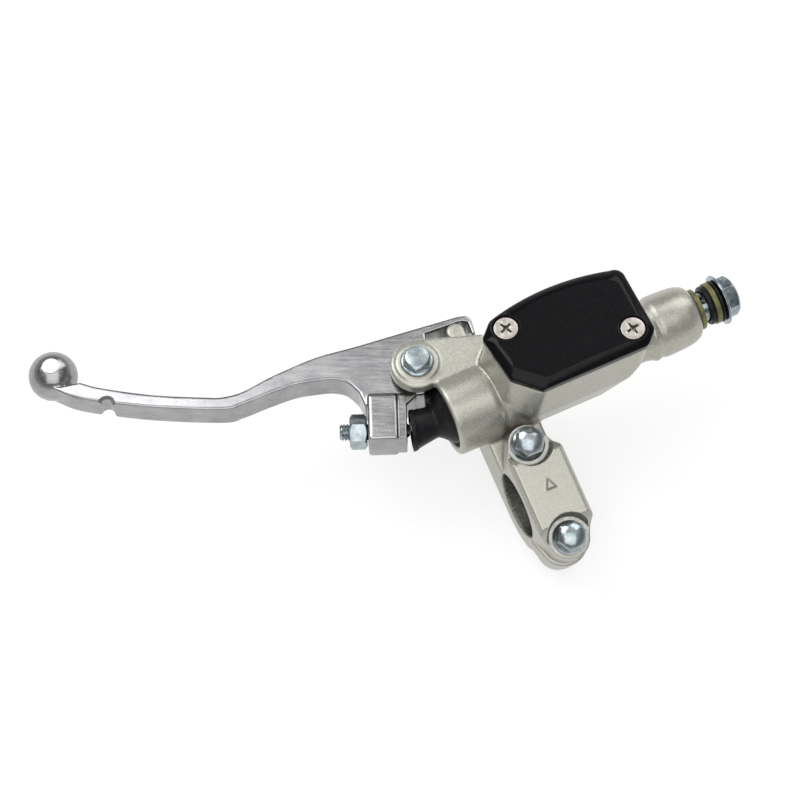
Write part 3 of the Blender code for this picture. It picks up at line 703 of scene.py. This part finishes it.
def machine(body):
    """The bores, holes and fluid chamber."""
    cut(body, turned("stepped_bore", [
        (0, OUTLET_X + 1), (6.0, OUTLET_X + 1), (5.2, OUTLET_X - 0.6), (5.2, 76.0), (3.0, 75.0),
        (3.0, 74.0), (BORE_RADIUS, 74.0), (BORE_RADIUS, 11.6), (8.0, 11.6), (8.0, 9.9),
        (9.0, 9.9), (9.0, 8.5), (8.0, 8.5), (8.0, 7.6), (10.8, 7.6), (10.8, MOUTH_X + 0.8),
        (11.4, MOUTH_X - 0.6), (0, MOUTH_X - 0.6)], ALONG_BORE))
    cut(body, cylinder("pivot_hole", 3.3, -20, 20, CASTING), bar_bore())
    for side in (1, -1):
        cut(body, cylinder("clamp_hole", 3.2, -30, 5, CLAMP, (0, side * BOLT_REACH)))
    chamber = plate("chamber", reservoir_outline(3.6), 9.5, RIM_Z + 3, CASTING)
    for spot in SCREWS.values():
        cut(chamber, cylinder("post", 4.6, 7.5, RIM_Z + 4, CASTING, spot.xy))
    cut(body, chamber)
    for spot in SCREWS.values():
        cut(body, cylinder("screw_hole", 1.8, 13.0, RIM_Z + 3, CASTING, spot.xy))


def clamp_cap():
    """The loose half of the handlebar clamp, with its plain direction mark."""
    half = CAP_HALF_WIDTH
    side = [(-27, 0.4), (27, 0.4), (27, 10.5), (14.5, 10.5), (12.9, 13.9), (11.2, 15.6),
            (-10.9, 15.6), (-13.0, 14.0), (-15.5, 10.4), (-27, 9.6)]
    cap = plate("cap", side, -half, half, ACROSS_CLAMP)
    lower = arc((0, -BOLT_REACH), 6.9, -168, -12, 30)
    upper = arc((0, BOLT_REACH), 6.3, 20, 160, 20)
    plan = [*lower, (half, -12.4), (half, 11.6), (half - 0.7, 12.6), *upper,
            (-half + 0.7, 12.6), (-half, 11.6), (-half, -12.4)]
    overlap(cap, plate("cap_form", plan, -5, 30, CLAMP))
    ramp = [(-half - 1, 13.9), (-half - 0.01, 13.9), (-half + 1.4, 15.7), (-half + 1.4, 17),
            (-half - 1, 17)]
    mirrored = [(-x, z) for x, z in reversed(ramp)]
    upright = CLAMP @ Matrix.Rotation(math.radians(90), 4, "X")
    for outline in (ramp, mirrored):
        cut(cap, plate("edge_ramp", outline, -30, 30, upright))
    soften(cap, FINE_VOXEL, 4)
    cut(cap, bar_bore(), cylinder("barrel_room", BARREL_RADIUS + 0.5, 0, 60, ALONG_BORE))
    for side in (1, -1):
        y = side * BOLT_REACH
        cut(cap, turned("spot_face", [(0, 30), (8.2, 30), (7.7, CAP_SEAT + 2.6),
                                      (7.3, CAP_SEAT + 0.4), (7.0, CAP_SEAT), (0, CAP_SEAT)],
                        CLAMP @ Matrix.Translation((0, y, 0))))
        cut(cap, cylinder("cap_hole", 3.2, -30, 30, CLAMP, (0, y)))
    foot = [(-1.9, 0.0), (1.9, 0.0), (0, 4.1)]
    top = [(-1.2, 0.4), (1.2, 0.4), (0, 3.0)]
    join(cap, loft("mark", [(foot, 14.6), (foot, 15.6), (top, 16.9)], CLAMP))
    soften(cap, 0.2, 3)
    stand_for(cap, "clamp_cap", "cylinder", CAST)
    # the handlebar bore's wall gets painted shade
    recolour_faces(cap, BORED_SHADED, in_bar_bore)
    recolour_faces(cap, SEAT, on_bolt_seat)


def flange_bolts():
    """The clamp's two flange bolts, with domed hexagon heads and threaded shanks."""
    seat = CAP_SEAT + SEAT_GAP
    for name, side in (("clamp_bolt_upper", 1), ("clamp_bolt_lower", -1)):
        place = CLAMP @ Matrix.Translation((0, side * BOLT_REACH, 0))
        profile = rounded([(0, seat + 2.2), (4.0, seat + 2.0), (5.1, seat + 1.2),
                           (5.65, seat + 0.6), (5.6, seat), (2.85, seat), (2.85, 1.0),
                           (2.4, 0.6), (0, 0.6)], 0.25, False)
        bolt = turned(name, profile, place)
        join(bolt, hexagon("head", 8.7, seat + 0.8, seat + 7.2, place, 2.0, 3.7, dome=0.9),
             thread("shank", 2.85, -12.0, 1.2, place))
        stand_for(bolt, name, "cylinder", ZINC)
        # the head's flats and steep slopes get painted shade and painted dark reflections
        shade_bolt_flats(bolt, place)


# ---------------------------------------------------------------- reservoir

def reservoir_cover():
    """The gloss cover: sloped edges, flat top and a raised boss round each screw."""
    low, top = COVER_LOW.z, COVER_HIGH.z
    sections = [(reservoir_outline(0.35), low), (reservoir_outline(0.1), low + 0.25),
                (reservoir_outline(), low + 0.6), (reservoir_outline(), top - 2.3),
                (reservoir_outline(0.15), top - 2.0), (reservoir_outline(0.55), top - 1.6),
                (reservoir_outline(2.3), top - 0.55), (reservoir_outline(2.9), top - 0.3),
                (reservoir_outline(3.6), top - 0.22), (reservoir_outline(4.4), top - 0.22)]
    cover = loft("cover", sections, CASTING)
    for spot in SCREWS.values():
        place = CASTING @ Matrix.Translation((spot.x, spot.y, 0))
        join(cover, turned("boss", rounded([(0, top), (4.95, top), (5.05, top - 3.5),
                                            (0, top - 3.5)], 0.3, False), place))
        cut(cover, turned("countersink", [
            (0, top + 1), (4.35, top + 1), (4.25, top - 0.1), (4.15, top - 0.5),
            (2.1, top - 2.6), (2.1, low - 1), (0, low - 1)], place))
    bevel(cover, 0.12, 40)
    stand_for(cover, "reservoir_cover", "cylinder", BLACK, 25)
    level = 0.9999
    for face in cover.data.polygons:
        face.use_smooth = abs(face.normal.z) < level


def cover_screws():
    """Two countersunk screws with a cross recess."""
    top = high_mm("cover_screw_inner").z - PIVOT.z
    for turn, (name, spot) in zip(SCREW_TURNS, SCREWS.items()):
        place = CASTING @ Matrix.Translation((spot.x, spot.y, 0))
        place = place @ Matrix.Rotation(math.radians(turn), 4, "Z")
        head = turned(name, rounded([(0, top), (3.9, top - 0.08), (3.9, top - 0.4),
                                     (1.7, top - 2.65), (1.45, top - 3.2), (1.45, 14.6),
                                     (0.9, 13.8), (0, 13.8)], 0.14, False), place)
        for i in range(2):
            cross = place @ Matrix.Rotation(math.radians(90 * i), 4, "Z")
            cut(head, loft("recess", [
                ([(-1.4, -0.28), (1.4, -0.28), (1.4, 0.28), (-1.4, 0.28)], top - 1.5),
                ([(-2.4, -0.46), (2.4, -0.46), (2.4, 0.46), (-2.4, 0.46)], top + 0.3)],
                cross))
        cut(head, turned("recess_middle", [(0, top + 0.2), (1.05, top + 0.2),
                                           (0.6, top - 1.9), (0, top - 2.2)], place, 48))
        bevel(head, 0.06, 35)
        stand_for(head, name, "cylinder", NICKEL, 25)
        centre = place.translation
        # the cross recess gets painted shade
        recolour_faces(head, RECESS_SHADE, lambda spot: in_screw_recess(spot - centre, top))


# ---------------------------------------------------------------- lever

def hand_lever():
    """The polished lever, drawn from its two edges, with its ball, hub and adjuster block."""
    front = [(-100.3, 43.5), (-94.7, 38.6), (-80.7, 29.2), (-66.1, 21.3), (-60.9, 18.9),
             (-54.2, 17.8), (-44.6, 18.7), (-35.4, 19.0), (-26.4, 18.8), (-13.6, 16.9),
             (1.0, 15.1), (20.8, 12.6)]
    rear = [(-20.3, 1.0), (-22.4, 6.2), (-26.3, 9.2), (-31.8, 11.1), (-38.3, 12.7),
            (-47.1, 13.2), (-56.0, 13.4), (-62.7, 14.6), (-82.5, 24.9), (-97.9, 34.7),
            (-104.6, 39.8), (-109.5, 45.5)]
    hook = rounded([(23.2, 11.8), (24.3, 10.0), (23.2, 4.3), (22.0, 4.5), (22.6, 9.4),
                    (21.0, 10.5), (8.4, 11.4)], [1, 1, 0.5, 0.5, 1.2, 1.2, 0], False)
    hub = [*arc((0, 0), HUB_RADIUS, 30, -75, 24), *arc((0, 0), 8.3, -98, -115, 4)]
    outline = [*through(front), *hook, *hub, (-8.6, -9.6), (-20.5, -4.4), *through(rear)]
    half = 5.6
    lever = plate("lever", outline, -half, half, CASTING, 0.7)
    for vertex in lever.data.vertices:
        along = min(1.0, max(0.0, (PIVOT.x - vertex.co.x / MM) / -BALL_CENTRE[0]))
        above = vertex.co.z - PIVOT.z * MM
        vertex.co.z = PIVOT.z * MM + above * (1.0 - LEVER_TAPER * along)
    block = box("adjuster_block", (-16.4, -24.4, -6.6), (-6.6, -8.0, 6.4), LEVER, 1.1)
    strip = box("adjuster_strip", (-7.7, -23.9, -5.7), (-3.8, -8.0, 5.7), LEVER, 0.5)
    gather(lever, cylinder("hub_disc", HUB_RADIUS, -6.9, 6.9, CASTING),
           ball("end_ball", BALL_RADIUS, CASTING, BALL_CENTRE), block, strip)
    soften(lever, FINE_VOXEL, 4)
    notch = CASTING @ Matrix.Translation((-95.6, 32.6, 0))
    cut(lever, turned("break_notch", [(0, 10), (2.9, 10), (2.9, 4.6), (2.2, 3.8), (2.2, -3.8),
                                      (2.9, -4.6), (2.9, -10), (0, -10)], notch),
        cylinder("ball_flat", 5.0, BALL_RADIUS - 0.5, 10, CASTING, BALL_CENTRE[:2]),
        turned("flat_ring", [(2.6, 10), (2.95, 10), (2.95, 7.3), (2.6, 7.3)],
               CASTING @ Matrix.Translation(BALL_CENTRE), ring=True),
        cylinder("bush_hole", 4.8, -10, 10, CASTING),
        cylinder("adjuster_hole", 3.3, -30, 10, ALONG_ADJUSTER))
    stand_for(lever, "brake_lever", "lever", POLISHED)


def pivot_hardware():
    """The pivot bolt, with its washer and nut under the lower ear."""
    seat = BOSS_Z + SEAT_GAP
    bolt = turned("bolt", rounded([(0, seat + 1.0), (4.9, seat + 0.9), (5.45, seat + 0.5),
                                   (5.45, seat), (3.0, seat), (3.0, -13.0), (0, -13.0)], 0.2,
                                  False), CASTING)
    join(bolt, hexagon("head", 8.6, seat + 0.5, seat + 3.6, CASTING, 1.1, 3.7),
         thread("shank", 3.0, -21.8, -12.6, CASTING))
    stand_for(bolt, "pivot_bolt", "cylinder", ZINC)
    washer = turned("washer", rounded([(6.2, -seat), (6.2, -seat - 1.2), (3.3, -seat - 1.2),
                                       (3.3, -seat)], 0.2), CASTING, ring=True)
    stand_for(washer, "pivot_washer", "cylinder", ZINC)
    nut = hexagon("nut", 10.0, -seat - 6.5, -seat - 1.5, CASTING, 0.9, 4.6, both_ends=True)
    cut(nut, turned("nut_hole", [(0, -10), (3.3, -10), (3.3, -seat - 6.0), (3.9, -seat - 6.7),
                                 (0, -seat - 6.7)], CASTING))
    stand_for(nut, "pivot_nut", "cylinder", ZINC)


def adjuster():
    """The threaded reach adjuster and its locknut."""
    screw = thread("screw", 2.85, -25.6, -5.6, ALONG_ADJUSTER)
    join(screw, turned("tip", rounded([(0, -2.6), (1.6, -2.9), (2.6, -4.0), (2.6, -6.2),
                                       (0, -6.2)], 0.3, False), ALONG_ADJUSTER))
    stand_for(screw, "adjuster_screw", "lever", ZINC)
    nut = hexagon("locknut", 10.0, -22.4, -16.7, ALONG_ADJUSTER, 0.9, 4.7, both_ends=True)
    cut(nut, turned("nut_hole", [(0, -10), (3.2, -10), (3.2, -21.9), (3.8, -22.6), (0, -22.6)],
                    ALONG_ADJUSTER))
    stand_for(nut, "adjuster_locknut", "lever", ZINC)


# ---------------------------------------------------------------- boot and hose end

def dust_boot():
    """The rubber boot, which leans to fit the lever and shortens as the piston goes in."""
    outline = [(8.8, 7.3), (10.5, 7.3), (10.5, 4.5), (9.7, 3.0), (8.6, 1.6), (7.4, 0.6),
               (5.9, -0.9), (5.3, -1.8), (5.7, -5.0), (6.2, -8.0), (6.6, -8.6), (6.6, -9.9),
               (5.6, -9.9), (5.4, -6.4), (4.5, -3.6), (4.6, -1.0), (6.2, 1.6), (8.2, 4.2)]
    boot = turned("boot", rounded(outline, 0.7), ALONG_BORE, 72, ring=True)
    lean = 0.3
    length = 12.0
    for vertex in boot.data.vertices:
        off_axis = vertex.co.y / MM - BORE.y
        outward = min(1.0, max(0.0, (PIVOT.x + MOUTH_X - vertex.co.x / MM) / length))
        vertex.co.x += lean * off_axis * outward * MM
    stand_for(boot, "dust_boot", "cylinder", RUBBER)
    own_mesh(boot)


def hose_end():
    """The banjo bolt with the washers and rings on its shank."""
    rings = (("banjo_washer_inner", "sealing_washer", OLIVE, 0.3),
             ("banjo_ring_inner", "black_rubber", RUBBER, 0.8),
             ("banjo_washer_outer", "sealing_washer", OLIVE, 0.3),
             ("banjo_ring_outer", "black_rubber", RUBBER, 0.45))
    for node, slot, material, corner in rings:
        low, high = low_mm(node), high_mm(node)
        radius = (high.y - low.y) / 2
        bottom, top = low.x - PIVOT.x, high.x - PIVOT.x
        washer = turned(node, rounded([(radius, top), (radius, bottom), (5.3, bottom),
                                       (5.3, top)], corner), ALONG_BORE, ring=True)
        stand_for(washer, node, "cylinder", material)
    seat = OUTLET_X + SEAT_GAP + HOSE_END_STACK
    bolt = turned("bolt", rounded([
        (0, seat + 1.7), (6.2, seat + 1.5), (8.0, seat + 1.1), (8.6, seat + 0.6), (8.6, seat),
        (4.9, seat), (4.9, 90.5), (4.4, 90.0), (0, 90.0)], 0.25, False), ALONG_BORE)
    join(bolt, hexagon("head", 12.0, seat + 0.9, seat + 5.8, ALONG_BORE, 1.3, 5.3),
         thread("shank", 4.9, 79.0, 90.6, ALONG_BORE, 0.5, 64))
    cut(bolt, cylinder("fluid_passage", 1.6, 70.0, seat - 3, ALONG_BORE))
    across = ALONG_BORE @ Matrix.Translation((0, 0, seat - 6)) @ Matrix.Rotation(
        math.radians(90), 4, "Y")
    cut(bolt, cylinder("cross_hole", 1.3, -8, 8, across))
    stand_for(bolt, "banjo_bolt", "cylinder", ZINC)
    # the head's flats and steep slopes get painted shade and painted dark reflections
    shade_bolt_flats(bolt, ALONG_BORE)


# ---------------------------------------------------------------- inner pieces

def return_spring():
    """The spring between the primary cup and the bore's end, squeezed as the piston goes in."""
    low, high = low_mm("return_spring"), high_mm("return_spring")
    wire = 0.55
    radius = (high.y - low.y) / 2 - wire - 0.02
    start, end = low.x - PIVOT.x + wire, high.x - PIVOT.x - wire
    turns, per_turn, sides = 7, 40, 12
    closed_share, closed_rise = 0.13, 0.9
    count = turns * per_turn
    vertices, faces = [], []
    for i in range(count + 1):
        angle = 2 * math.pi * i / per_turn
        done = i / count
        first = min(done, closed_share) / closed_share
        middle = min(1.0, max(0.0, (done - closed_share) / (1 - 2 * closed_share)))
        last = max(0.0, done - 1 + closed_share) / closed_share
        height = start + closed_rise * (first + last) + (end - start - 2 * closed_rise) * middle
        for k in range(sides):
            around = 2 * math.pi * k / sides
            reach = radius + wire * math.cos(around)
            vertices.append((reach * math.cos(angle), reach * math.sin(angle),
                             height + wire * math.sin(around)))
    for i in range(count):
        for k in range(sides):
            a, b = i * sides + k, i * sides + (k + 1) % sides
            faces.append((a, b, b + sides, a + sides))
    faces.append(tuple(reversed(range(sides))))
    faces.append(tuple(range(count * sides, (count + 1) * sides)))
    spring = solid("spring", vertices, faces, ALONG_BORE)
    stand_for(spring, "return_spring", "cylinder", STEEL)
    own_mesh(spring)


def inner_pieces():
    """Gives the carried-over inner nodes their finish."""
    finishes = {"piston": ANODISED, "primary_cup": RUBBER, "secondary_cup": RUBBER,
                "retaining_clip": STEEL, "stop_washer": ZINC, "pushrod": STEEL,
                "pivot_bush": BRONZE, "reservoir_diaphragm": RUBBER}
    for node, material in finishes.items():
        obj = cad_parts[node]
        for slot in obj.material_slots:
            slot.material = material


# ---------------------------------------------------------------- stage

def camera():
    """A long lens, high above the rider's side of the object and a little to its left."""
    look_at = Vector((-30.3, 44.1, 15.0)) * MM
    azimuth, elevation, roll, distance = -24.265, 63.673, -1.0, 0.97126
    turn = (Matrix.Rotation(math.radians(azimuth), 4, "Z")
            @ Matrix.Rotation(math.radians(90 - elevation), 4, "X")
            @ Matrix.Rotation(math.radians(roll), 4, "Z"))
    lens = bpy.data.cameras.new("camera")
    lens.sensor_width = 36.0
    lens.lens = 135.0
    lens.clip_start = 0.05
    obj = bpy.data.objects.new("camera", lens)
    obj.matrix_world = Matrix.Translation(look_at) @ turn @ Matrix.Translation((0, 0, distance))
    bpy.context.scene.collection.objects.link(obj)
    bpy.context.scene.camera = obj


def pale_floor():
    """A wide floor just under the object, with a soft glow that keeps its shadows faint."""
    reach = 3000
    floor = solid("floor", [(-reach, -reach, 0), (reach, -reach, 0), (reach, reach, 0),
                            (-reach, reach, 0)], [(0, 1, 2, 3)],
                  Matrix.Translation((0, 0, cad_box[0][2] / MM - 1.0)))
    material, tree, shader = surface("floor", 0.7, 0.0)
    shader.inputs["Specular IOR Level"].default_value = 0.2
    shader.inputs["Emission Color"].default_value = (1, 1, 1, 1)
    shader.inputs["Emission Strength"].default_value = 0.74
    tree.links.new(mix(tree, noise(tree, 40.0), (0.25, 0.25, 0.25), (0.27, 0.27, 0.27)),
                   shader.inputs["Base Color"])
    floor.data.materials.append(material)


def sky():
    """A soft grey sky: pale at the horizon, dark part of the way up, brightest near the top."""
    world = bpy.data.worlds.new("studio")
    bpy.context.scene.world = world
    world.use_nodes = True
    tree = world.node_tree
    coordinates = tree.nodes.new("ShaderNodeTexCoord")
    split = tree.nodes.new("ShaderNodeSeparateXYZ")
    ramp = tree.nodes.new("ShaderNodeValToRGB")
    tree.links.new(coordinates.outputs["Generated"], split.inputs["Vector"])
    tree.links.new(split.outputs["Z"], ramp.inputs["Fac"])
    tree.links.new(ramp.outputs["Color"], tree.nodes["Background"].inputs["Color"])
    greys = ((0.0, 0.6), (0.22, 0.5), (0.45, 0.16), (0.72, 0.38), (0.90, 0.8), (1.0, 0.75))
    for position, _ in greys[1:-1]:
        ramp.color_ramp.elements.new(position)
    for element, (position, grey) in zip(ramp.color_ramp.elements, greys):
        element.position = position
        element.color = (grey, grey, grey, 1)


def lights():
    """Three square soft lights, aimed at the handlebar bore."""
    rig = (("back_left", (-0.40, 0.80, 1.10), 0.9, 3.6),
           ("back_right", (0.90, 0.60, 0.95), 0.9, 2.2),
           ("front", (-0.35, -0.70, 1.35), 1.7, 1.35))
    for name, place, size, radiance in rig:
        light = bpy.data.lights.new(name, "AREA")
        light.shape = "SQUARE"
        light.size = size
        light.energy = radiance * math.pi * size * size
        obj = bpy.data.objects.new(name, light)
        obj.location = place
        obj.rotation_euler = (-Vector(place)).to_track_quat("-Z", "Y").to_euler()
        bpy.context.scene.collection.objects.link(obj)


bpy.context.scene.view_settings.view_transform = "Standard"
camera()
pale_floor()
sky()
lights()
cast_body()
clamp_cap()
flange_bolts()
reservoir_cover()
cover_screws()
hand_lever()
pivot_hardware()
adjuster()
dust_boot()
hose_end()
return_spring()
inner_pieces()
